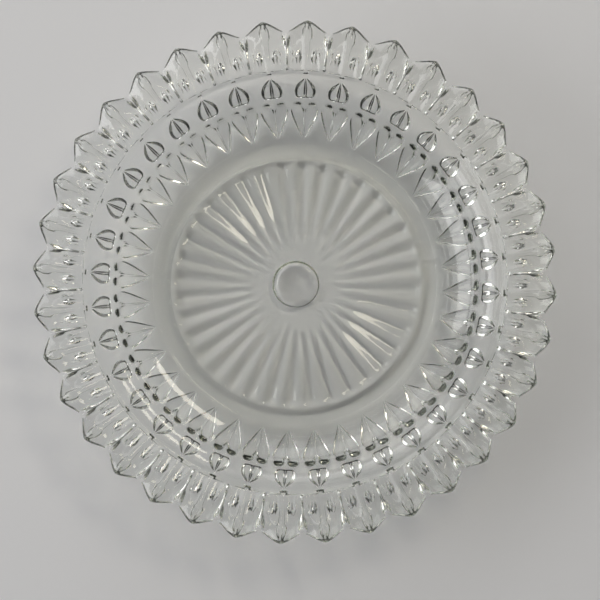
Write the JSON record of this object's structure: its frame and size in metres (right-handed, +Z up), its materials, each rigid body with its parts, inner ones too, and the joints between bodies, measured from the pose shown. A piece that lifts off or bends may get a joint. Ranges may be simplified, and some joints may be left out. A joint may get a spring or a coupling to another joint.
{
  "type": "pressed-glass dish",
  "caption": "Shallow round dish of clear pressed glass with a toothed rim, two rings of pointed ribs round its wall and a sunburst under its floor.",
  "frame": {"origin": "centre of the foot ring, on the surface that the dish stands on", "axes": "+Z up along the dish's axis; +X through the point of one tooth"},
  "size_m": [0.15, 0.15, 0.0215],
  "materials": {
    "glass": "glossy"
  },
  "bodies": {
    "root": {"glass_dish": "glass"}
  },
  "joints": []
}
